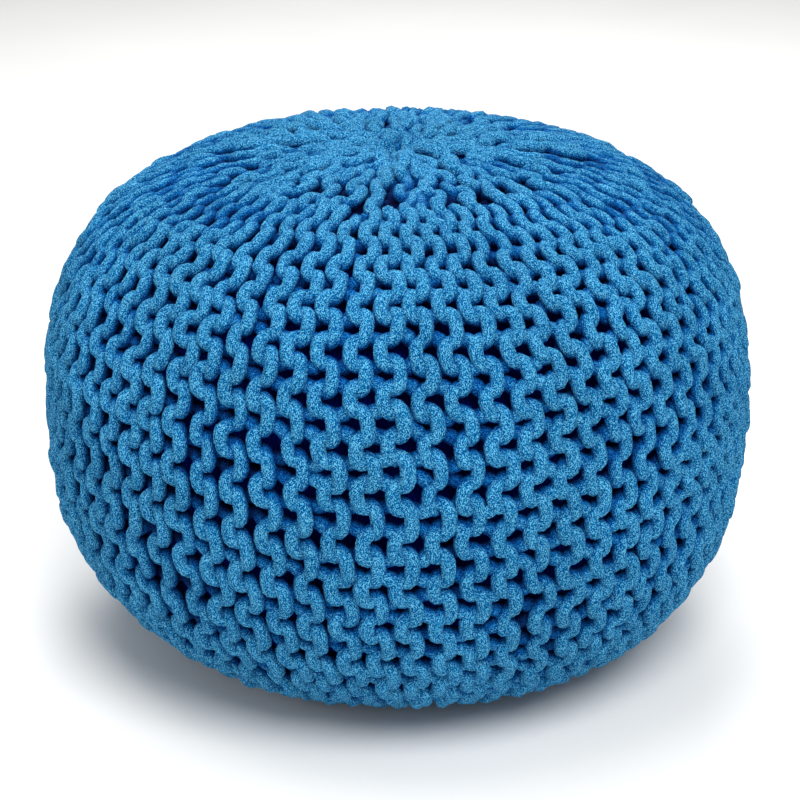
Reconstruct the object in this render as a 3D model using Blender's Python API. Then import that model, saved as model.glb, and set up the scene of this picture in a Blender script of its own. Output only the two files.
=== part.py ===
"""A round knitted pouf: one filled cushion, ribbed all round and gathered at its crown.

The knitting runs from the crown over the widest level to the base, so its rows stand as
ribs along every meridian. Towards the crown the rows crowd together in pairs and make
pleats, which run down into the small hollow where the cover is drawn shut. The filling
has settled: the base is flat, and the lower half leans a little to one side.
"""

import math

import bmesh
import bpy
import numpy as np

# Driving sizes, in metres. The origin is on the floor under the middle of the pouf.
DIAMETER = 0.500           # over the crests of the ribs at the widest level
CROWN_RISE = 0.197         # from the widest level up to the crown
BELLY_DROP = 0.166         # from the widest level down to the floor
BASE_RADIUS = 0.097        # of the flat round that rests on the floor
CROWN_FULLNESS = 2.93      # power of the upper curve: 2 is an ellipse, more is squarer
BELLY_FULLNESS = 2.30      # power of the lower curve
BASE_LEAN = 0.0065         # how far the base has settled to +X
CROWN_LEAN = 0.002         # how far the crown has settled to +X

# The knitting
RIBS = 72                  # rows of knitting round the pouf
COLUMNS_PER_RIB = 2        # a crest and a groove
RIB_DEPTH = 0.0045         # from a rib's crest down to its groove
PLEAT_DEPTH = 0.006        # the same on the pleats, which hold two rows each
PLEAT_REACH = 0.055        # within this distance of the axis all is pleats
RIB_REACH = 0.120          # beyond this distance all is ribs
PRESSED_HEIGHT = 0.025     # below this height the floor presses the ribs flat

# The hollow where the cover is drawn shut
HOLLOW_RADIUS = 0.026
HOLLOW_DEPTH = 0.017

# Rows of faces down each stretch of the outline
HOLLOW_ROWS = 4
CROWN_ROWS = 13
BELLY_ROWS = 10
FINE_STEPS = 400           # of the curve that the rows are spaced along

CORD_BLUE = (0.013, 0.177, 0.440, 1.0)
CORD_ROUGHNESS = 0.9
CREASE_ANGLE = 30           # in degrees: steeper edges are shaded as creases


def evenly_spaced(radii, heights, rows):
    """Points that divide a curve into rows of one length."""
    travelled = np.concatenate(([0.0], np.cumsum(np.hypot(np.diff(radii), np.diff(heights)))))
    stops = np.linspace(0.0, travelled[-1], rows + 1)
    return np.interp(stops, travelled, radii), np.interp(stops, travelled, heights)


def crown_curve():
    """The upper curve, from the rim of the hollow out to the widest level."""
    rim_angle = math.acos((HOLLOW_RADIUS / (DIAMETER / 2)) ** (CROWN_FULLNESS / 2))
    angle = np.linspace(rim_angle, 0.0, FINE_STEPS)
    radii = DIAMETER / 2 * np.cos(angle) ** (2 / CROWN_FULLNESS)
    heights = BELLY_DROP + CROWN_RISE * np.sin(angle) ** (2 / CROWN_FULLNESS)
    return radii, heights


def belly_curve():
    """The lower curve, from the widest level in to the edge of the flat base."""
    angle = np.linspace(0.0, math.pi / 2, FINE_STEPS)
    swell = DIAMETER / 2 - BASE_RADIUS
    radii = BASE_RADIUS + swell * np.cos(angle) ** (2 / BELLY_FULLNESS)
    heights = BELLY_DROP - BELLY_DROP * np.sin(angle) ** (2 / BELLY_FULLNESS)
    return radii, heights


def hollow_curve(rim_height):
    """The hollow, from its lowest point on the axis out to its rim."""
    radii = np.linspace(0.0, HOLLOW_RADIUS, FINE_STEPS)
    depth = HOLLOW_DEPTH * (1 + np.cos(math.pi * radii / HOLLOW_RADIUS)) / 2
    return radii, rim_height - depth


def outline():
    """The whole half section: radius and height of each row, from the crown to the base."""
    crown = crown_curve()
    hollow = hollow_curve(crown[1][0])
    hollow_radii, hollow_heights = evenly_spaced(*hollow, HOLLOW_ROWS)
    crown_radii, crown_heights = evenly_spaced(*crown, CROWN_ROWS)
    belly_radii, belly_heights = evenly_spaced(*belly_curve(), BELLY_ROWS)
    radii = np.concatenate([hollow_radii, crown_radii[1:], belly_radii[1:]])
    heights = np.concatenate([hollow_heights, crown_heights[1:], belly_heights[1:]])
    return radii, heights


def turned_body(radii, heights):
    """The plain turned body, one column of faces for each crest and groove, closed flat below."""
    body = bmesh.new()
    points = [body.verts.new((r, 0.0, z)) for r, z in zip(radii, heights)]
    edges = [body.edges.new(pair) for pair in zip(points, points[1:])]
    bmesh.ops.spin(
        body,
        geom=points + edges,
        cent=(0.0, 0.0, 0.0),
        axis=(0.0, 0.0, 1.0),
        angle=2 * math.pi,
        steps=RIBS * COLUMNS_PER_RIB,
        use_merge=True,
    )
    bmesh.ops.remove_doubles(body, verts=body.verts, dist=0.00001)
    bmesh.ops.holes_fill(body, edges=body.edges, sides=RIBS * COLUMNS_PER_RIB)
    bmesh.ops.recalc_face_normals(body, faces=body.faces)
    return body


def groove(azimuth, radius, height):
    """How far the surface lies below the crests at one place."""
    rib = RIB_DEPTH * (1 - math.cos(RIBS * azimuth)) / 2
    pleat = PLEAT_DEPTH * (1 - math.cos(RIBS / 2 * azimuth)) / 2
    share = min(max((RIB_REACH - radius) / (RIB_REACH - PLEAT_REACH), 0.0), 1.0)
    if height < BELLY_DROP:
        return rib * min(height / PRESSED_HEIGHT, 1.0)
    narrowing = min(radius / PLEAT_REACH, 1.0)
    return narrowing * (share * pleat + (1 - share) * rib)


def lean(height):
    """How far the filling has settled to +X at one height."""
    if height < BELLY_DROP:
        return BASE_LEAN * (1 - height / BELLY_DROP) ** 2
    return CROWN_LEAN * ((height - BELLY_DROP) / CROWN_RISE) ** 2


def raise_ribs(body, radii, heights):
    """Sink the grooves between the ribs, square to the outline, and lean the body."""
    down = np.stack([np.gradient(radii), np.gradient(heights)], axis=1)
    down /= np.linalg.norm(down, axis=1, keepdims=True)
    for point in body.verts:
        radius = math.hypot(point.co.x, point.co.y)
        height = point.co.z
        azimuth = math.atan2(point.co.y, point.co.x)
        row = int(np.argmin(np.hypot(radii - radius, heights - height)))
        depth = groove(azimuth, radius, height)
        radius += down[row][1] * depth
        height -= down[row][0] * depth
        point.co.x = radius * math.cos(azimuth) + lean(height)
        point.co.y = radius * math.sin(azimuth)
        point.co.z = height


def cotton_cord():
    """Dyed cotton cord, matt and soft."""
    material = bpy.data.materials.new("dyed_cotton_cord")
    material.use_nodes = True
    shader = material.node_tree.nodes["Principled BSDF"]
    shader.inputs["Base Color"].default_value = CORD_BLUE
    shader.inputs["Roughness"].default_value = CORD_ROUGHNESS
    return material


def build():
    """The pouf in a collection of its own."""
    for thing in list(bpy.data.objects):
        bpy.data.objects.remove(thing)
    collection = bpy.data.collections.new("knitted_pouf")
    bpy.context.scene.collection.children.link(collection)

    radii, heights = outline()
    body = turned_body(radii, heights)
    raise_ribs(body, radii, heights)
    mesh = bpy.data.meshes.new("knitted_pouf")
    body.to_mesh(mesh)
    body.free()
    mesh.materials.append(cotton_cord())
    mesh.shade_smooth()
    mesh.set_sharp_from_angle(angle=math.radians(CREASE_ANGLE))
    collection.objects.link(bpy.data.objects.new("knitted_pouf", mesh))


build()
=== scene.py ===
# %% [markdown]
# # A round pouf in knitted cotton cord
# The real pouf is a filled bag inside a knitted cover. The cover is knitted in one thick
# blue cotton cord, about as thick as a finger, with its purl side outwards. It is knitted
# sideways: each row of loops runs from the crown over the widest level to the base, and
# every row is drawn together at the crown and again under the base.
#
# A bump texture could suggest such a cover, but its looks come from the cord itself, which
# bulges, dives under its neighbour and leaves dark gaps. So this lesson lays the cord as
# real loops, row by row, each hooked through the next, and then dyes it.

# %% Load the measured frame
import math

import bmesh
import bpy
import numpy as np
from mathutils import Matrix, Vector, noise


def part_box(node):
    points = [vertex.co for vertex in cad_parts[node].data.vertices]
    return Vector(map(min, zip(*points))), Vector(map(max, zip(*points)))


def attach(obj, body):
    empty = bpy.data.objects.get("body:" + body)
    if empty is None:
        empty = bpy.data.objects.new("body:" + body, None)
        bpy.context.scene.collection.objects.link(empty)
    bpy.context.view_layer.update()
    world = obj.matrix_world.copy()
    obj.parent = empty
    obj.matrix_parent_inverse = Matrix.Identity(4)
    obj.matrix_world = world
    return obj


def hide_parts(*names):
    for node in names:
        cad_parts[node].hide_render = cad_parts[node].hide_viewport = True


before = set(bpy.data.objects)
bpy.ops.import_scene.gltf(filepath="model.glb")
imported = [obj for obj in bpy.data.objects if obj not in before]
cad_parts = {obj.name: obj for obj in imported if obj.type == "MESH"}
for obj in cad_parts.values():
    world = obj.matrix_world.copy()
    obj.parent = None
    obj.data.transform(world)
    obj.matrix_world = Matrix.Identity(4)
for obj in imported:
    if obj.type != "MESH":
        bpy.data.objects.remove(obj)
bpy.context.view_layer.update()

NODE = "knitted_pouf"
LOW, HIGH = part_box(NODE)
RADIUS = (HIGH[0] - LOW[0]) / 2
HEIGHT = HIGH[2]
print(f"pouf: {2000 * RADIUS:.0f} mm across, {1000 * HEIGHT:.0f} mm high")

# %% [markdown]
# ## The outline
# A filled ball of cloth settles into a squat round: fuller than a ball at its shoulders,
# and flat where it stands. It could be inflated as simulated cloth, but the knitting needs
# to know the exact place and slope of every point, and a formula gives both.
#
# Half a section is drawn as two curves that meet at the widest level. Each is a
# superellipse, an ellipse whose power can be turned up to fill its shoulder. At the crown
# the outline turns down into the small funnel where the cover is drawn shut.

# %% Sizes of the outline, in metres
BELLY_HEIGHT = 0.457 * HEIGHT      # the widest level above the floor
BASE_RADIUS = 0.388 * RADIUS       # of the flat round on the floor
CROWN_FULLNESS = 2.93              # power of the upper curve: 2 is an ellipse
BELLY_FULLNESS = 2.30              # power of the lower curve
HOLLOW_RADIUS = 0.026              # of the funnel at the crown
HOLLOW_DEPTH = 0.017
THROAT_RADIUS = 0.007              # of the drawn-up hole that the cords dive into
THROAT_DEPTH = 0.036
CURVE_POINTS = 600                 # points on each curve before they are spaced evenly
SECTION_STEP = 0.001               # between the evenly spaced points
SMOOTHINGS = 30                    # passes that round the corners at the floor and the throats


# %% Draw the half section
def half_section():
    """The outline from deep in the crown's throat to deep in the base's."""
    up = np.linspace(math.pi / 2, 0.0, CURVE_POINTS)
    shoulder = np.stack([
        RADIUS * np.cos(up) ** (2 / CROWN_FULLNESS),
        BELLY_HEIGHT + (HEIGHT - BELLY_HEIGHT) * np.sin(up) ** (2 / CROWN_FULLNESS),
    ], axis=1)
    shoulder = shoulder[shoulder[:, 0] > THROAT_RADIUS]
    inside = np.clip(shoulder[:, 0] / HOLLOW_RADIUS, 0.0, 1.0)
    shoulder[:, 1] -= HOLLOW_DEPTH * (1 + np.cos(math.pi * inside)) / 2
    down = np.linspace(0.0, math.pi / 2, CURVE_POINTS)
    belly = np.stack([
        BASE_RADIUS + (RADIUS - BASE_RADIUS) * np.cos(down) ** (2 / BELLY_FULLNESS),
        BELLY_HEIGHT - BELLY_HEIGHT * np.sin(down) ** (2 / BELLY_FULLNESS),
    ], axis=1)
    start = [(THROAT_RADIUS, HEIGHT - THROAT_DEPTH)]
    end = [
        (THROAT_RADIUS * 2, 0.0),
        (THROAT_RADIUS, THROAT_RADIUS),
        (THROAT_RADIUS, THROAT_DEPTH),
    ]
    return np.concatenate([start, shoulder, belly[1:], end])


# %% Space its points evenly
def resample(points, spacing):
    """Points at one spacing along a line, with the distance of each from its start."""
    points = np.asarray(points)
    steps = np.hypot(*np.diff(points, axis=0).T)
    along = np.concatenate(([0.0], np.cumsum(steps)))
    stops = np.linspace(0.0, along[-1], int(along[-1] / spacing) + 1)
    columns = [np.interp(stops, along, points[:, i]) for i in (0, 1)]
    return np.stack(columns, axis=1), stops


def slopes(line):
    """The direction of a line at each of its points."""
    way = np.gradient(line, axis=0)
    return way / np.linalg.norm(way, axis=1, keepdims=True)


SECTION, SECTION_AT = resample(half_section(), SECTION_STEP)
for _ in range(SMOOTHINGS):
    SECTION[1:-1] = (SECTION[:-2] + 2 * SECTION[1:-1] + SECTION[2:]) / 4
SLOPE = slopes(SECTION)
MERIDIAN = SECTION_AT[-1]
print(f"outline: {1000 * MERIDIAN:.0f} mm from throat to throat")

# %% Look up a place on the outline
BASE_LEAN = 0.0065                 # how far the filling has settled to +X at the base
CROWN_LEAN = 0.002                 # and at the crown


def section_at(along):
    """Radius, height and outward direction of the outline at distances along it."""
    radius = np.interp(along, SECTION_AT, SECTION[:, 0])
    height = np.interp(along, SECTION_AT, SECTION[:, 1])
    run = np.interp(along, SECTION_AT, SLOPE[:, 0])
    fall = np.interp(along, SECTION_AT, SLOPE[:, 1])
    return radius, height, -fall, run


def settle(height):
    """How far the filling has settled to +X at each height."""
    below = np.clip(1 - height / BELLY_HEIGHT, 0.0, 1.0)
    above = np.clip((height - BELLY_HEIGHT) / (HEIGHT - BELLY_HEIGHT), 0.0, 1.0)
    return BASE_LEAN * below ** 2 + CROWN_LEAN * above ** 2


print(f"the base has settled {1000 * settle(0.0):.1f} mm to one side")

# %% [markdown]
# ## One loop of the cord
# In knitting, one cord snakes along a row. At each loop it climbs to a head, falls back
# through the row before to a foot, and goes on to the next. On the purl side the heads and
# feet bulge in front and the legs between them lie behind. Heads of one row and feet of the
# next share a seam, so each seam reads as a wavy column: head, foot, head, foot.
#
# The loop could be three sine waves, but real cord is stiff: it keeps straight over a head
# and bends hard beside it. A short table of places, joined by a smooth curve, says that
# better. Its numbers come from how purl stitches lie: the two legs keep close together
# where they pass behind the foot's seam, and part before they hook round the next row.

# %% Sizes of the knitting, in metres
ROWS = 72                          # rows of loops round the pouf
LOOPS = 25                         # loops in a row, from throat to throat
STEPS = 33                         # points along one loop
CORD = 0.0096                      # thickness of the cord
WAVE = 0.0106                      # height of the visible wave at the widest level
PITCH = 2 * math.pi / ROWS         # from one row to the next, in radians
WALE = MERIDIAN / LOOPS            # from one loop to the next, down the outline
print(f"stitches: {1000 * RADIUS * PITCH:.1f} mm wide")
print(f"from head to head: {1000 * WALE:.1f} mm")

# %% The way round one loop, from head to head
# along: share of the loop's length. seam: 1 on the seam with the next row, -1 on the seam
# with the row before. wave: 1 at a head's top, -1 at a foot's. deep: millimetres outwards
# from the cloth's middle.
WHOLE_LOOP = [
    # along, seam, wave, deep
    (0.000, 1.00, 1.00, 4.2),      # head
    (0.120, 1.00, 0.98, 4.1),
    (0.225, 1.00, 0.84, 3.8),
    (0.295, 1.00, 0.50, 2.9),
    (0.330, 1.00, -0.05, 0.8),     # dives behind the foot of the next row
    (0.336, 0.95, -0.50, -1.2),
    (0.322, 0.72, -0.35, -1.0),
    (0.264, 0.42, -0.10, -0.6),    # lower leg
    (0.200, 0.12, 0.00, -1.2),
    (0.176, -0.25, 0.10, -2.2),
    (0.172, -0.62, 0.40, -2.4),
    (0.184, -0.92, 0.50, -1.8),
    (0.236, -1.00, 0.05, 0.6),     # comes up beside the head of the row before
    (0.295, -1.00, -0.50, 2.9),
    (0.365, -1.00, -0.86, 3.9),
    (0.455, -1.00, -1.00, 4.2),
    (0.540, -1.00, -1.02, 4.3),    # foot
    (0.640, -1.00, -0.98, 4.4),
    (0.730, -1.00, -0.82, 4.2),
    (0.785, -1.00, -0.40, 2.9),
    (0.805, -1.00, 0.15, 0.6),
    (0.824, -0.92, 0.55, -1.8),
    (0.828, -0.62, 0.40, -2.4),
    (0.822, -0.25, 0.10, -2.2),
    (0.796, 0.12, 0.00, -1.2),
    (0.736, 0.42, -0.10, -0.6),    # upper leg
    (0.684, 0.72, -0.35, -1.0),
    (0.668, 0.95, -0.50, -1.2),
    (0.680, 1.00, 0.00, 0.2),
    (0.720, 1.00, 0.52, 2.4),
    (0.785, 1.00, 0.85, 3.7),
    (0.885, 1.00, 0.98, 4.1),
]
SKIN = WHOLE_LOOP[0][3] / 1000 + CORD / 2   # from the outline in to the cloth's middle
print(f"one loop: {len(WHOLE_LOOP)} places; the cloth's middle lies {1000 * SKIN:.1f} mm deep")

# %% Join the places with a smooth curve
CURVE_STEPS = 40                   # points between one place and the next


def smooth_loop(places):
    """A curve through every place of the table, which closes one loop further on."""
    ring = np.array(places)
    count = len(ring)
    position = np.arange(0, count, 1 / CURVE_STEPS)
    cell = position.astype(int)
    share = (position - cell)[:, None]

    def place(i):
        """The place number i, also before the first and past the last."""
        point = ring[i % count].copy()
        point[:, 0] += i // count
        return point

    p0, p1, p2, p3 = place(cell - 1), place(cell), place(cell + 1), place(cell + 2)
    curve = p1 + (p2 - p0) * share / 2
    curve += (2 * p0 - 5 * p1 + 4 * p2 - p3) * share ** 2 / 2
    curve += (3 * p1 - p0 - 3 * p2 + p3) * share ** 3 / 2
    return np.concatenate([curve, curve[:1] + [[1, 0, 0, 0]]])


# %% Share out its points, more where it bends
BEND_WORTH = 0.004                 # one radian of bend gets the points of 4 mm of cord


def share_out(curve):
    """The curve with STEPS points, close together in its bends."""
    across = curve[:, 1] * RADIUS * PITCH / 2 + curve[:, 2] * WAVE / 2
    laid = np.stack([curve[:, 0] * WALE, across, curve[:, 3] / 1000], axis=1)
    step = np.diff(laid, axis=0)
    length = np.linalg.norm(step, axis=1)
    way = step / length[:, None]
    bend = np.arccos(np.clip((way * np.roll(way, 1, axis=0)).sum(axis=1), -1, 1))
    travelled = np.concatenate(([0], np.cumsum(length + BEND_WORTH * bend)))
    stops = np.linspace(0, travelled[-1], STEPS + 1)[:-1]
    print(f"the widest loop: {1000 * length.sum():.0f} mm of cord")
    print(f"it bends {math.degrees(bend.sum()):.0f} degrees in all")
    return np.stack([np.interp(stops, travelled, curve[:, i]) for i in range(4)], axis=1)


LOOP = share_out(smooth_loop(WHOLE_LOOP))

# %% [markdown]
# ## All the rows at once
# Every row is the same line of loops, turned round the axis, so the whole cover is worked
# out as arrays of rows by points. That is quick, and each later step is one line of sums.

# %% One line of loops
LINE = np.concatenate([LOOP + [[i, 0, 0, 0]] for i in range(LOOPS)])
AT = LINE[:, 0] * WALE             # distance down the outline
SIDE = LINE[:, 1]                  # 1 on the seam with the next row, -1 on the other seam
ROW = np.arange(ROWS)[:, None] + np.zeros(len(LINE))
WIDE = np.interp(AT, SECTION_AT, SECTION[:, 0])
ROOM = WIDE * PITCH                # width that a row has at each point
print(f"{ROWS} rows of {len(LINE)} points")
print(f"each row has {1000 * ROOM.min():.1f} to {1000 * ROOM.max():.1f} mm of room")


def fade(value, start, end):
    """0 up to start, 1 from end on and a straight slope between them."""
    return np.clip((value - start) / (end - start), 0.0, 1.0)


def over_seams(value):
    """A number kept for the seam of each row, blended across from the seam before."""
    before = np.roll(value, 1, axis=0)
    return (value + before) / 2 + (value - before) / 2 * SIDE


# %% [markdown]
# ## Crowding at the crown and the base
# All the rows meet in the small throats, where there is no room for them side by side. On
# the real cover every second column sinks out of sight, then every second one of the rest,
# and those that stay in front spread out and take the room. Making the cord thinner towards
# the crown would be simpler, but it is one cord all through, and only squeezed a little.

# %% Sink columns where the rows crowd
FOLD_PITCH = 0.0110                # columns pushed closer than this begin to sink
SUNK_PITCH = 0.82 * FOLD_PITCH     # and at this they have sunk
UNEVEN_PITCH = 0.10                # share by which these differ from seam to seam
FOLD_DEPTH = 0.0115                # how far they sink
DEEP_RADIUS = 0.120                # nearer the axis they sink less, because all lie deep there
LEAST_DEPTH = 0.35                 # but never less than this share
COLUMN_WIDTH = 0.0075              # what a wavy column takes up beside its swing
LEAST_SWING = 0.0012
SUNK_STILLNESS = 0.6               # share of its swing that a sunk column loses
SLACK_SWING = 0.0035               # how much less the wave swings on the lower half
SLACK_SWING_EDGE = (0.250, 0.350)  # down the outline: where that begins, and is full
RNG = np.random.default_rng(8)


def pleats():
    """How deep each seam lies and how wide its wave swings."""
    column = np.arange(ROWS)[:, None]
    uneven = 1 + UNEVEN_PITCH * RNG.normal(0, 1, (ROWS, 1))
    hidden = np.zeros((ROWS, len(AT)))
    pitch = ROOM + hidden
    for level in (2, 4, 8):
        share = fade(ROOM * level / 2 * uneven, FOLD_PITCH, SUNK_PITCH)
        share = share * share * (3 - 2 * share)      # a softer start and end
        hidden += np.where(column % level == level // 2, share, 0.0)
        pitch += np.where(column % level == 0, share * ROOM * level / 2, 0.0)
    spare = pitch - COLUMN_WIDTH - SLACK_SWING * fade(AT, *SLACK_SWING_EDGE)
    swing = np.clip(spare, LEAST_SWING, WAVE) * (1 - SUNK_STILLNESS * hidden)
    return -FOLD_DEPTH * hidden * np.clip(WIDE / DEEP_RADIUS, LEAST_DEPTH, 1.0), swing


SEAM, SWING = pleats()
SWING = over_seams(SWING)
print(f"waves swing {1000 * SWING.min():.1f} to {1000 * SWING.max():.1f} mm")

# %% [markdown]
# ## Unevenness
# Hand-size knitting is never regular, and a regular cover looks like a machine part. Two
# kinds of unevenness make it real. One is shared by neighbouring stitches, as where the
# filling pushes or the cloth is pulled: a soft noise in space gives that. The other belongs
# to each stitch alone: a random number for each head and foot gives that.

# %% Two kinds of unevenness
def wander(scale, seed):
    """Soft unevenness from -1 to 1 that neighbouring stitches share."""
    turn = ROW * PITCH
    radius = np.maximum(WIDE, 0.02)              # keeps the rows apart in the throats
    height = np.broadcast_to(np.interp(AT, SECTION_AT, SECTION[:, 1]), turn.shape)
    places = np.stack([radius * np.cos(turn), radius * np.sin(turn), height], axis=-1) / scale
    offset = Vector((seed * 17.0, seed * 5.0, 0.0))     # another part of the noise
    flat = [noise.noise(Vector(place) + offset) for place in places.reshape(-1, 3)]
    return np.array(flat).reshape(places.shape[:-1])


def stitch_by_stitch(spread):
    """One random number for each head and each foot, faded from one to the next."""
    heads = RNG.normal(0, spread, (ROWS, LOOPS + 2))[:, np.round(LINE[:, 0]).astype(int)]
    feet = RNG.normal(0, spread, (ROWS, LOOPS + 2))[:, np.floor(LINE[:, 0]).astype(int)]
    share = (1 + np.clip(SIDE, -1, 1)) / 2
    return heads * share + feet * (1 - share)


def leg_by_leg():
    """One random number for each leg."""
    leg = np.floor(2 * LINE[:, 0]).astype(int)
    return RNG.normal(0, 1, (ROWS, 2 * LOOPS + 2))[:, leg]


# %% Sizes of the unevenness, in metres but for the shares
WAVE_SPREAD = 0.13                 # share of its height by which a wave differs from others
ALONG_SPREAD = 0.0007              # each head and foot, along the row
ALONG_DRIFT = 0.0045               # neighbours together, along the row
NEAR_DRIFT = 0.0030                # a few columns together, across the row
FAR_DRIFT = 0.0040                 # a whole side together, across the row
DEPTH_SPREAD = 0.0005              # each head and foot, in depth
CROWDED_SPREAD = 0.0016            # the same where the rows crowd
DEPTH_DRIFT = 0.0024               # neighbours together, in depth
LEG_ALONG = 0.0015                 # each leg, along the row
LEG_DEPTH = 0.0011                 # each leg, in depth
SEAM_DRIFT = 0.0010                # each seam, in depth
LEAST_DRIFT = 0.25                 # share of the drifts that a sunk column keeps
THROAT_CALM = (0.0, 0.045)         # from the axis: where columns begin to drift, and fully do

# %% [markdown]
# ## Laying the cord
# Each point of a row is placed in three steps: along the row, across it and in depth. Each
# step starts from the loop's table and gets its unevenness. The cloth isn't pulled alike all
# round: on one side its columns are drawn apart, so the legs between them lie deeper there
# and the gaps look darker. On the lower half the cord is slack and a little thicker.

# %% Where the rows lie round the pouf
START = -0.142                     # azimuth of the first row where the pouf is widest
TWIST = 0.29                       # radians that the rows wind round the pouf in each metre
LEVEL_AT = 0.290                   # distance down the outline of the widest level
TURN = ROW * PITCH + START + TWIST * (AT - LEVEL_AT)
print(f"the rows wind {math.degrees(TWIST * MERIDIAN):.0f} degrees from throat to throat")

# %% Along the row and across it
across = SIDE * ROOM / 2 + LINE[:, 2] * SWING / 2 * (1 + stitch_by_stitch(WAVE_SPREAD))
along = AT + ALONG_DRIFT * wander(scale=0.060, seed=1) + stitch_by_stitch(ALONG_SPREAD)
drift = NEAR_DRIFT * wander(scale=0.035, seed=2) + FAR_DRIFT * wander(scale=0.110, seed=6)
drift *= np.clip(SWING / WAVE, LEAST_DRIFT, 1.0)
drift *= fade(WIDE, *THROAT_CALM)
across += drift
print(f"columns drift up to {1000 * np.abs(drift).max():.1f} mm sideways")

# %% In depth
OPEN_SIDE = math.radians(195)      # azimuth of the side where the cloth is pulled open
LEG_LIFT = 0.0009                  # how much less deep the legs lie than in the table
PULLED_LEG = 0.0034                # how much deeper they lie on the open side
OPEN_EDGE = (0.45, 0.90)           # cosine of the angle to it: where it begins, is fully open
OPEN_TOP = (0.110, 0.180)          # the same down the outline
CROWDED_EDGE = (0.160, 0.060)      # from the axis: where rows begin to crowd, and fully do
PULLED = fade(np.cos(TURN - OPEN_SIDE), *OPEN_EDGE) * fade(AT, *OPEN_TOP)
LEGS = fade(np.abs(SIDE), 1.0, 1 / 6)      # 1 on the legs, 0 on heads and feet
deep = LINE[:, 3] / 1000 + DEPTH_DRIFT * wander(scale=0.050, seed=3)
deep = deep + stitch_by_stitch(DEPTH_SPREAD)
deep += fade(WIDE, *CROWDED_EDGE) * stitch_by_stitch(CROWDED_SPREAD)
along += LEG_ALONG * LEGS * leg_by_leg()
deep += LEG_DEPTH * LEGS * leg_by_leg()
deep += LEGS * (LEG_LIFT - PULLED_LEG * PULLED)
FOLD = over_seams(SEAM + SEAM_DRIFT * wander(scale=0.012, seed=4))
deep += FOLD
print(f"depth from {1000 * deep.min():.1f} to {1000 * deep.max():.1f} mm about the cloth's middle")

# %% Thickness of the cord
# Soft cord is squeezed where it is sunk or crowded, and swells a little where it is slack.
# Each number is a share of the cord's thickness.
CROWN_SQUEEZE = 0.06
THROAT_SQUEEZE = 0.06
LEG_SWELL = 0.09
SLACK_LEG = 0.02                   # how much less the legs swell on the lower half
PULLED_LEG_SQUEEZE = 0.12          # and on the open side
SLACK_SWELL = 0.05
LUMPS = 0.08                       # soft lumps, about as long as the cord is thick
GRAIN = 0.025                      # small unevenness from point to point
SUNK_SQUEEZE = 0.15

SLACK = fade(AT, 0.300, 0.400)     # 1 on the lower half
CROWN = fade(AT, 0.220, 0.170)     # 1 on the crown
THROATS = fade(WIDE, 0.060, 0.0)   # 1 in the throats
THICK = 1 - CROWN_SQUEEZE * CROWN - THROAT_SQUEEZE * THROATS
swell = LEG_SWELL - SLACK_LEG * SLACK - PULLED_LEG_SQUEEZE * PULLED
THICK = THICK * (1 + swell * fade(np.abs(SIDE), 1.0, 0.5))
THICK *= 1 + SLACK_SWELL * SLACK
THICK *= 1 + LUMPS * wander(scale=0.009, seed=5)
THICK *= 1 + GRAIN * RNG.normal(0, 1, THICK.shape)
THICK *= 1 - SUNK_SQUEEZE * np.clip(-FOLD / FOLD_DEPTH, 0.0, 1.0)
print(f"cord thickness: {1000 * CORD * THICK.min():.1f} to {1000 * CORD * THICK.max():.1f} mm")

# %% Wrap it round the pouf
NEAREST = 0.003                    # metres: no cord comes closer to the axis
LEAST_RADIUS = 0.004               # metres: keeps the turn small in the throats
radius, height, out, up = section_at(along)
turn = TURN + across / np.maximum(radius, LEAST_RADIUS)


def round_axis(radius, height):
    """Points at this radius and height, turned round the axis and settled to one side."""
    side = radius * np.cos(turn) + settle(height)
    return np.stack([side, radius * np.sin(turn), height], axis=-1)


OUTLINE = round_axis(radius, height)
OUTWARD = np.stack([out * np.cos(turn), out * np.sin(turn), up], axis=-1)
MIDDLE = round_axis(
    np.maximum(radius + out * (deep - SKIN), NEAREST),
    np.maximum(height + up * (deep - SKIN), THICK * CORD / 2),
)
LENGTHS = np.linalg.norm(np.diff(MIDDLE, axis=1), axis=2)
print(f"cord: {LENGTHS.sum():.0f} m in {ROWS * LOOPS} loops")

# %% [markdown]
# ## Helpers for materials
# Colours are given as sRGB hex codes, but a shader calculates with linear
# light, so each code goes through one function. A second small function adds a node, sets
# it and links it, which keeps a material as short as a recipe.

# %% Colour and nodes
def linear(code):
    """Linear colour from an sRGB hex code such as "#2C7DB5"."""
    parts = [int(code[i:i + 2], 16) / 255 for i in (1, 3, 5)]
    parts = [c / 12.92 if c <= 0.04045 else ((c + 0.055) / 1.055) ** 2.4 for c in parts]
    return (*parts, 1.0)


def new_material(name):
    """An empty node material and its shader."""
    material = bpy.data.materials.new(name)
    material.use_nodes = True
    return material, material.node_tree.nodes["Principled BSDF"]


def add(material, kind, settings=None, **inputs):
    """Add a node. Settings are its properties; inputs are values, or sockets to link."""
    node = material.node_tree.nodes.new("ShaderNode" + kind)
    for name, value in (settings or {}).items():
        setattr(node, name, value)
    for name, value in inputs.items():
        key = int(name[1:]) if name[1:].isdigit() else name.replace("_", " ")
        if isinstance(value, bpy.types.NodeSocket):
            material.node_tree.links.new(value, node.inputs[key])
        else:
            node.inputs[key].default_value = value
    return node


def ramp(material, factor, stops):
    """Colours at places from 0 to 1, with a smooth change between them."""
    node = add(material, "ValToRGB", Fac=factor)
    line = node.color_ramp.elements
    line[0].position, line[1].position = stops[0][0], stops[-1][0]
    line[0].color, line[1].color = linear(stops[0][1]), linear(stops[-1][1])
    for place, code in stops[1:-1]:
        line.new(place).color = linear(code)
    return node.outputs["Color"]


print("mid grey in linear light:", round(linear("#808080")[0], 3))

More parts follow.
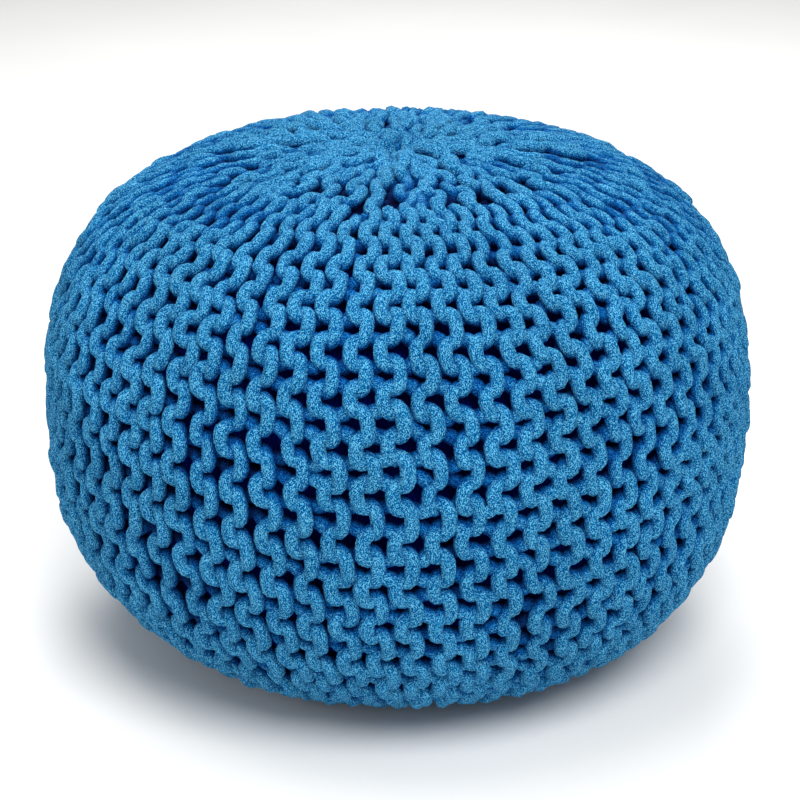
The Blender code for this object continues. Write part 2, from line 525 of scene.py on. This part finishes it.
# %% [markdown]
# ## The braid of the cord
# The cord is a soft round braid: strands wind round it both ways and pass over and under
# each other, so its surface is a mesh of small slanting stitches. Modelled, that would be
# millions of faces. It is drawn instead from the cord's own UVs, which run in metres along
# the cord and once around it. Two saw-tooth lines, one for each way, cross in small
# diamonds, and whether a diamond's number is odd or even says which strand is on top.

# %% Height and fibres of the braid
BRAID_STRANDS = 20                 # crossings round the cord, 1.5 mm each
BRAID_PITCH = 0.0030               # metres of one crossing along the cord
FIBRE_ACROSS = 2.6                 # light and dark fibres: how often across a strand
FIBRE_ALONG = 1.0                  # and along it


def braid(material):
    """Sockets with the height of the braid and the lightness of its fibres."""
    uv = add(material, "UVMap", {"uv_map": "cord"})
    place = add(material, "SeparateXYZ", _0=uv.outputs["UV"])
    along = add(material, "Math", {"operation": "DIVIDE"},
                _0=place.outputs["X"], _1=BRAID_PITCH)
    around = add(material, "Math", {"operation": "MULTIPLY"},
                 _0=place.outputs["Y"], _1=float(BRAID_STRANDS))
    lines = []
    cells = []
    bulges = []
    over = []
    for way in ("ADD", "SUBTRACT"):
        line = add(material, "Math", {"operation": way},
                   _0=along.outputs[0], _1=around.outputs[0])
        part = add(material, "Math", {"operation": "FRACT"}, _0=line.outputs[0])
        angle = add(material, "Math", {"operation": "MULTIPLY"},
                    _0=part.outputs[0], _1=math.pi)
        bulge = add(material, "Math", {"operation": "SINE"}, _0=angle.outputs[0])
        cell = add(material, "Math", {"operation": "FLOOR"}, _0=line.outputs[0])
        half = add(material, "Math", {"operation": "MULTIPLY_ADD"},
                   _0=bulge.outputs[0], _1=0.5, _2=0.5)
        lines.append(line.outputs[0])
        cells.append(cell.outputs[0])
        bulges.append(bulge.outputs[0])
        over.append(half.outputs[0])
    cell = add(material, "Math", {"operation": "ADD"}, _0=cells[0], _1=cells[1])
    top = add(material, "Math", {"operation": "FLOORED_MODULO"}, _0=cell.outputs[0], _1=2.0)
    first = add(material, "Math", {"operation": "MULTIPLY"}, _0=bulges[0], _1=over[1])
    second = add(material, "Math", {"operation": "MULTIPLY"}, _0=bulges[1], _1=over[0])
    height = add(material, "Mix", {"data_type": "FLOAT"}, _0=top.outputs[0],
                 _2=first.outputs[0], _3=second.outputs[0])
    slant = add(material, "CombineXYZ", _0=lines[0], _1=lines[1])
    flecks = []
    for stretch in ((FIBRE_ACROSS, FIBRE_ALONG, 1.0), (FIBRE_ALONG, FIBRE_ACROSS, 1.0)):
        scaled = add(material, "VectorMath", {"operation": "MULTIPLY"},
                     _0=slant.outputs[0], _1=stretch)
        fleck = add(material, "TexNoise", {"noise_dimensions": "2D"},
                    Vector=scaled.outputs[0], Scale=1.0, Detail=1.0, Roughness=0.5)
        flecks.append(fleck.outputs["Fac"])
    fibres = add(material, "Mix", {"data_type": "FLOAT"}, _0=top.outputs[0],
                 _2=flecks[0], _3=flecks[1])
    return height.outputs[0], fibres.outputs[0]


# %% [markdown]
# ## Dyed cotton
# Cotton yarn is matt and fuzzy. Its fibres take the dye unevenly, so close up it is a
# salt-and-pepper of pale and deep blue, and it has no clear shine. Light that falls between
# the cords bounces from blue to blue and grows deeper each time, which is why the gaps look
# navy, not grey. The render's light bounces do part of that. The rest is painted shade: a
# dark tone on cord that lies deep in the cloth, for the shade that the cords and their loose
# fibres cast there.

# %% Tones of the cord
COTTON_TONES = [
    (0.00, "#044680"),
    (0.30, "#0D629A"),
    (0.55, "#1D7CB2"),
    (0.80, "#3E9AC8"),
    (1.00, "#6BBAE0"),
]
# Painted shade, from the outline down into the gaps. These multiply the cord's colour.
PAINTED_SHADE_TONES = [
    (0.00, "#FFFFFF"),
    (0.30, "#52A8D8"),
    (0.65, "#27699F"),
    (1.00, "#031C54"),
]
FUZZ_GAIN = 4.4                    # how much each part changes the lightness
TUFT_GAIN = 0.6
FIBRE_GAIN = 2.0
# The braid's height lightens the strands on top and darkens the creases between them: painted
# shade.
BRAID_SHADE_GAIN = 0.45
TONE_SHIFT = -1.04                 # brings the mean of their sum to the middle tone


def mix_tones(material, height, fibres, fuzz, tuft):
    """One lightness from the braid's height, which paints shade into its creases, its fibres and
    two sizes of fuzz.
    """
    tone = add(material, "Math", {"operation": "MULTIPLY_ADD"},
               _0=fuzz, _1=FUZZ_GAIN, _2=-FUZZ_GAIN / 2)
    for part, gain in ((tuft, TUFT_GAIN), (fibres, FIBRE_GAIN), (height, BRAID_SHADE_GAIN)):
        tone = add(material, "Math", {"operation": "MULTIPLY_ADD"},
                   _0=part, _1=gain, _2=tone.outputs[0])
    shifted = add(material, "Math", {"operation": "ADD"}, _0=tone.outputs[0], _1=TONE_SHIFT)
    return shifted.outputs[0]


# %% Braided cotton cord, dyed blue
# To the eye: matt all over, a fine sparkle of pale fibres, soft slanting stitches, and
# colour that drifts a little from one part of the cover to another.
def braided_cotton():
    """The cord's material."""
    material, shader = new_material("braided_cotton_cord_dyed_blue_and_painted_shade")
    height, fibres = braid(material)
    place = add(material, "TexCoord").outputs["Object"]
    # A noise of scale 1150 has grains of about 1 mm: fuzz, coarser than real fibres, which
    # wouldn't show. 260 gives tufts of 4 mm, and 14 gives dye that drifts over 7 cm.
    fuzz = add(material, "TexNoise", Vector=place,
               Scale=1150.0, Detail=1.0, Roughness=0.6).outputs["Fac"]
    tuft = add(material, "TexNoise", Vector=place,
               Scale=260.0, Detail=2.0, Roughness=0.5).outputs["Fac"]
    dye = add(material, "TexNoise", Vector=place,
              Scale=14.0, Detail=2.0, Roughness=0.5).outputs["Fac"]
    cotton = ramp(material, mix_tones(material, height, fibres, fuzz, tuft), COTTON_TONES)
    # Painted shade: cord that lies deep below the outline is darkened towards navy.
    depth = add(material, "Attribute", {"attribute_name": "painted_shade_share"}).outputs["Fac"]
    gaps = ramp(material, depth, PAINTED_SHADE_TONES)
    shaded = add(material, "Mix", {"data_type": "RGBA", "blend_type": "MULTIPLY"},
                 _0=1.0, _6=cotton, _7=gaps)
    vat = add(material, "MapRange", Value=dye,
              From_Min=0.35, From_Max=0.65, To_Min=0.92, To_Max=1.08)
    dyed = add(material, "HueSaturation", Color=shaded.outputs[2], Value=vat.outputs[0],
               Saturation=1.015)
    lift = add(material, "Math", {"operation": "ADD"}, _0=fuzz, _1=height)
    bump = add(material, "Bump", Height=lift.outputs[0], Strength=1.0, Distance=0.0005)
    material.node_tree.links.new(dyed.outputs["Color"], shader.inputs["Base Color"])
    material.node_tree.links.new(bump.outputs["Normal"], shader.inputs["Normal"])
    shader.inputs["Roughness"].default_value = 0.9
    shader.inputs["Specular IOR Level"].default_value = 0.08
    return material


COTTON = braided_cotton()
print(COTTON.name, "has", len(COTTON.node_tree.nodes), "nodes")

# %% [markdown]
# ## From lines to cord
# A row is a long bent tube. A curve with a round bevel makes it with no twist and with UVs,
# and it takes a thickness at each point. The rows go into six pieces of twelve, because a
# piece should stay light enough to handle. Each curve is turned into a mesh, and then two
# things are noted on it: how far along the cord each face corner lies, for the braid, and
# how deep below the outline each point lies, for the painted shade in the gaps.

# %% Note the distance along the cord
ROWS_PER_PIECE = 12
SIDES = 8                          # faces round the cord: a bevel resolution of 2
CAP_POINTS = ROWS_PER_PIECE * 2 * SIDES    # the closed ends come first in the mesh
TRAVELLED = np.concatenate([np.zeros((ROWS, 1)), np.cumsum(LENGTHS, axis=1)], axis=1)


def note_distance(mesh, first):
    """Turn the bevel's UVs into metres along the cord, and once around it."""
    layer = mesh.uv_layers[0]
    layer.name = "cord"
    uv = np.zeros(len(mesh.loops) * 2, dtype=np.float32)
    layer.uv.foreach_get("vector", uv)
    uv = uv.reshape(-1, 2)
    corner = np.zeros(len(mesh.loops), dtype=np.int32)
    mesh.loops.foreach_get("vertex_index", corner)
    ring = np.clip((corner - CAP_POINTS) // SIDES, 0, None)
    row, point = first + ring // len(LINE), ring % len(LINE)
    uv[:, 1] = np.where(corner >= CAP_POINTS, uv[:, 1], 0.0)
    uv[:, 0] = TRAVELLED[row, point] + row * math.ceil(TRAVELLED.max())
    layer.uv.foreach_set("vector", uv.ravel())


# %% Note the depth below the outline, for the painted shade
# Painted shade: where the dark tone for deep-lying cord begins and is full. It starts nearer the
# outline on the crown, and is left off at the gather and on the front.
GAP_START = 0.0030                 # metres under the outline where the dark tone begins
GAP_REACH = 0.0080                 # metres further down where it is full
CROWN_GAP_START = 0.0008           # the same on the crown, where the cords lie close
CROWN_GAP_REACH = 0.0055
CROWN_EDGE = (0.080, 0.160)        # above the widest level: where the crown's tone begins, is full
GATHER_EDGE = (0.090, 0.130)       # from the axis: there is none at the tight gather
FRONT_EDGE = (-0.170, -0.080)      # on Y: none on the front, where the waves stand open


def note_painted_shade(mesh, first):
    """Store the painted shade of each point, from its depth: 0 at the outline, 1 in the gaps."""
    places = np.zeros(len(mesh.vertices) * 3, dtype=np.float32)
    mesh.vertices.foreach_get("co", places)
    places = places.reshape(-1, 3)[CAP_POINTS:]
    rows = slice(first, first + ROWS_PER_PIECE)
    skin = np.repeat(OUTLINE[rows].reshape(-1, 3), SIDES, axis=0)
    outward = np.repeat(OUTWARD[rows].reshape(-1, 3), SIDES, axis=0)
    depth = -((places - skin) * outward).sum(axis=1)
    crown = fade(skin[:, 2], BELLY_HEIGHT + CROWN_EDGE[0], BELLY_HEIGHT + CROWN_EDGE[1])
    crown *= fade(np.hypot(skin[:, 0], skin[:, 1]), *GATHER_EDGE)
    crown *= fade(skin[:, 1], *FRONT_EDGE)
    start = GAP_START + (CROWN_GAP_START - GAP_START) * crown
    reach = GAP_REACH + (CROWN_GAP_REACH - GAP_REACH) * crown
    painted_shade_share = np.ones(len(mesh.vertices), dtype=np.float32)
    painted_shade_share[CAP_POINTS:] = np.clip((depth - start) / reach, 0.0, 1.0)
    mesh.attributes.new("painted_shade_share", "FLOAT", "POINT").data.foreach_set("value", painted_shade_share)
    return painted_shade_share.mean()


# %% Make a piece of twelve rows
def knitted_rows(first):
    """Twelve rows of cord as one mesh."""
    name = f"knitted_rows_{first // ROWS_PER_PIECE + 1}"
    curve = bpy.data.curves.new(name, "CURVE")
    curve.dimensions = "3D"
    curve.bevel_depth = CORD / 2
    curve.bevel_resolution = 2
    curve.use_fill_caps = True
    for row in range(first, first + ROWS_PER_PIECE):
        line = curve.splines.new("POLY")
        line.points.add(len(LINE) - 1)
        places = np.concatenate([MIDDLE[row], np.ones((len(LINE), 1))], axis=1)
        line.points.foreach_set("co", places.ravel())
        line.points.foreach_set("radius", THICK[row])
    draft = bpy.data.objects.new(name, curve)
    bpy.context.collection.objects.link(draft)
    laid = draft.evaluated_get(bpy.context.evaluated_depsgraph_get())
    mesh = bpy.data.meshes.new_from_object(laid)
    bpy.data.objects.remove(draft)
    mesh.name = name
    note_distance(mesh, first)
    depth = note_painted_shade(mesh, first)
    mesh.materials.clear()
    mesh.materials.append(COTTON)
    mesh.shade_smooth()
    triangles = sum(len(face.vertices) - 2 for face in mesh.polygons)
    print(f"{name}: {triangles} triangles, mean depth note {depth:.2f}")
    return bpy.data.objects.new(name, mesh)


# %% Hang the pieces on the frame
for first in range(0, ROWS, ROWS_PER_PIECE):
    piece = knitted_rows(first)
    bpy.context.collection.objects.link(piece)
    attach(piece, "root")
    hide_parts(NODE)

# %% [markdown]
# ## The inner bag
# Through the gaps one sees the bag that holds the filling: plain woven cotton in the darkest
# blue, which is partly its own colour and partly painted shade for the gaps. It could be left
# out and the gaps painted black, but then light would fall through the cover to its far side.
# A half section, a little inside the knitting, is spun round the axis. It is drawn further in
# at the crown, where the sunk columns need room.

# %% Woven cotton cloth, navy, partly painted shade
# To the eye: nearly black in the gaps, quite matt, with a fine grid of threads.
# The threads are 1.5 mm apart round the bag and 0.8 mm apart up it. Real ones are finer and
# wouldn't show.
THREADS_ROUND = 960                # warp threads round the bag
THREADS_UP = 260.0                 # weft threads in a radian of height
# The bag's own navy, darkened in part as painted shade for the gaps.
BAG_AND_SHADE_TONES = [(0.0, "#031070"), (0.5, "#071C8A"), (1.0, "#0E2AA0")]


def woven_cotton():
    """The bag's material: threads over and under, on the direction from the bag's middle."""
    material, shader = new_material("woven_cotton_cloth_navy_and_painted_shade")
    place = add(material, "TexCoord").outputs["Object"]
    part = add(material, "SeparateXYZ", _0=place)
    flat = add(material, "CombineXYZ", _0=part.outputs["X"], _1=part.outputs["Y"])
    radius = add(material, "VectorMath", {"operation": "LENGTH"}, _0=flat.outputs[0])
    rise = add(material, "Math", {"operation": "SUBTRACT"},
               _0=part.outputs["Z"], _1=BELLY_HEIGHT)
    turn = add(material, "Math", {"operation": "ARCTAN2"},
               _0=part.outputs["Y"], _1=part.outputs["X"])
    climb = add(material, "Math", {"operation": "ARCTAN2"},
                _0=rise.outputs[0], _1=radius.outputs["Value"])
    waves = []
    for angle, count in ((turn, THREADS_ROUND / 2), (climb, THREADS_UP / 2)):
        thread = add(material, "Math", {"operation": "MULTIPLY"}, _0=angle.outputs[0], _1=count)
        wave = add(material, "Math", {"operation": "SINE"}, _0=thread.outputs[0])
        waves.append(wave.outputs[0])
    cross = add(material, "Math", {"operation": "MULTIPLY"}, _0=waves[0], _1=waves[1])
    level = add(material, "Math", {"operation": "MULTIPLY_ADD"},
                _0=cross.outputs[0], _1=0.5, _2=0.5)
    cloth = ramp(material, level.outputs[0], BAG_AND_SHADE_TONES)
    bump = add(material, "Bump", Height=level.outputs[0], Strength=0.6, Distance=0.0003)
    material.node_tree.links.new(cloth, shader.inputs["Base Color"])
    material.node_tree.links.new(bump.outputs["Normal"], shader.inputs["Normal"])
    shader.inputs["Roughness"].default_value = 0.95
    shader.inputs["Specular IOR Level"].default_value = 0.0
    return material


# %% Spin the bag
BAG_INSET = 0.021                  # from the outline in to the bag
CROWN_INSET = 0.018                # how much further in at the crown
CROWN_INSET_EDGE = (0.150, 0.090)  # distances from the axis where that begins and is full
BAG_THROAT = 0.020                 # nearer the axis the bag is flat, top and bottom
BAG_ROW = 0.012                    # length of its faces down the outline
BAG_COLUMNS = 96


def bag_section():
    """Half the bag's section, from axis to axis."""
    open_part = [(r, h) for r, h in half_section()[1:-3] if r > BAG_THROAT]
    section, _ = resample(open_part, BAG_ROW)
    way = slopes(section)
    inward = np.stack([way[:, 1], -way[:, 0]], axis=1)
    crown = fade(section[:, :1], *CROWN_INSET_EDGE) * (section[:, 1:] > BELLY_HEIGHT)
    section = section + (BAG_INSET + CROWN_INSET * crown) * inward
    top, bottom = section[0][1], section[-1][1]
    return np.concatenate([[(0.0, top)], section, [(0.0, bottom)]])


def inner_bag():
    """The bag as one closed shell."""
    body = bmesh.new()
    points = [body.verts.new((r, 0.0, h)) for r, h in bag_section()]
    edges = [body.edges.new(pair) for pair in zip(points, points[1:])]
    bmesh.ops.spin(body, geom=points + edges, cent=(0, 0, 0), axis=(0, 0, 1),
                   angle=2 * math.pi, steps=BAG_COLUMNS, use_merge=True)
    bmesh.ops.remove_doubles(body, verts=body.verts, dist=0.00001)
    bmesh.ops.recalc_face_normals(body, faces=body.faces)
    for point in body.verts:
        point.co.x += float(settle(point.co.z))
    mesh = bpy.data.meshes.new("inner_bag")
    body.to_mesh(mesh)
    body.free()
    mesh.materials.append(woven_cotton())
    mesh.shade_smooth()
    return bpy.data.objects.new("inner_bag", mesh)


BAG = inner_bag()
bpy.context.collection.objects.link(BAG)
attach(BAG, "root")
half_width = max(point.co.x for point in BAG.data.vertices)
print(f"inner bag: {len(BAG.data.polygons)} faces, {2000 * half_width:.0f} mm across")

# %% [markdown]
# ## The floor
# A product picture stands on a roll of matt white paper. It only has to catch a soft
# shadow, but bare white looks computed, so it gets the faint cloudiness and the fine tooth
# of paper.

# %% Matt white paper
# To the eye: an even warm white with no shine, and a grain that only shows up close.
def matt_paper():
    """The floor's material."""
    material, shader = new_material("matt_paper_rolled_white")
    place = add(material, "TexCoord").outputs["Object"]
    cloud = add(material, "TexNoise", Vector=place, Scale=3.0, Detail=3.0).outputs["Fac"]
    tooth = add(material, "TexNoise", Vector=place, Scale=900.0, Detail=2.0).outputs["Fac"]
    tone = ramp(material, cloud, [(0.3, "#EEEEEC"), (0.7, "#F2F2F0")])
    bump = add(material, "Bump", Height=tooth, Strength=0.2, Distance=0.0002)
    material.node_tree.links.new(tone, shader.inputs["Base Color"])
    material.node_tree.links.new(bump.outputs["Normal"], shader.inputs["Normal"])
    shader.inputs["Roughness"].default_value = 0.9
    return material


def floor():
    """A flat square, 12 m wide, that belongs to the studio and not to the pouf."""
    body = bmesh.new()
    bmesh.ops.create_grid(body, x_segments=1, y_segments=1, size=6.0)
    mesh = bpy.data.meshes.new("floor")
    body.to_mesh(mesh)
    body.free()
    mesh.materials.append(matt_paper())
    plane = bpy.data.objects.new("floor", mesh)
    bpy.context.collection.objects.link(plane)
    return plane


print("floor:", [round(side, 1) for side in floor().dimensions], "m")

# %% [markdown]
# ## Light
# The photograph has broad soft light from above and in front, and almost no shadow. Large
# round soft boxes do that, and a bright even sky fills the rest. The front one is the
# strongest, so that the cords' upper sides are bright and the gaps stay dark.

# %% Soft boxes and sky
def aim(thing, target):
    """Turn a lamp or camera to look at a point."""
    thing.rotation_euler = (Vector(target) - thing.location).to_track_quat("-Z", "Y").to_euler()


def soft_box(name, place, size, power):
    """A round area lamp, size in metres and power in watts, that faces the pouf."""
    lamp = bpy.data.lights.new(name, "AREA")
    lamp.shape = "DISK"
    lamp.size = size
    lamp.energy = power
    light = bpy.data.objects.new(name, lamp)
    light.location = place
    bpy.context.collection.objects.link(light)
    aim(light, CENTRE)


CENTRE = (0.0, 0.0, BELLY_HEIGHT)
soft_box("key", (0.5, -1.4, 2.0), 1.4, 46)
soft_box("top", (-0.4, 0.1, 2.3), 1.4, 24)
soft_box("fill_left", (-2.0, -1.0, 1.0), 1.2, 7)
soft_box("back", (0.2, 1.8, 1.8), 1.2, 24)

world = bpy.data.worlds.new("studio")
world.use_nodes = True
sky = world.node_tree.nodes["Background"]
sky.inputs["Color"].default_value = (1, 1, 1, 1)
sky.inputs["Strength"].default_value = 0.42
bpy.context.scene.world = world
bpy.context.scene.view_settings.view_transform = "Standard"

# %% [markdown]
# ## Camera
# The photograph was taken from a little above, with a long lens: the crown shows as a
# narrow oval and the base stays round. The rise and the lens were found by fitting the
# outline to the photograph, with the camera three diameters away.

# %% Camera
CAMERA_RISE = math.radians(22.45)
CAMERA_DISTANCE = 6 * RADIUS
LENS_PIXELS = 2072.7               # focal length in pixels of the 800-pixel picture
PICTURE = 800
SENSOR = 36.0                      # millimetres
AIM_RIGHT = 0.00186                # metres from the pouf's middle, seen by the camera
AIM_UP = 0.00288

data = bpy.data.cameras.new("camera")
data.sensor_width = SENSOR
data.lens = LENS_PIXELS / PICTURE * SENSOR
camera = bpy.data.objects.new("camera", data)
bpy.context.collection.objects.link(camera)
back = Vector((0.0, -math.cos(CAMERA_RISE), math.sin(CAMERA_RISE)))
right = Vector((1.0, 0.0, 0.0))
target = Vector(CENTRE) + AIM_RIGHT * right + AIM_UP * right.cross(-back)
camera.location = target + back * CAMERA_DISTANCE
aim(camera, target)
bpy.context.scene.camera = camera
print(f"camera: {data.lens:.0f} mm lens, {CAMERA_DISTANCE:.2f} m away")

# %% [markdown]
# ## The cords and the solid
# The cords may stand a little proud of the measured solid, but no more.

# %% Finish
bpy.context.view_layer.update()
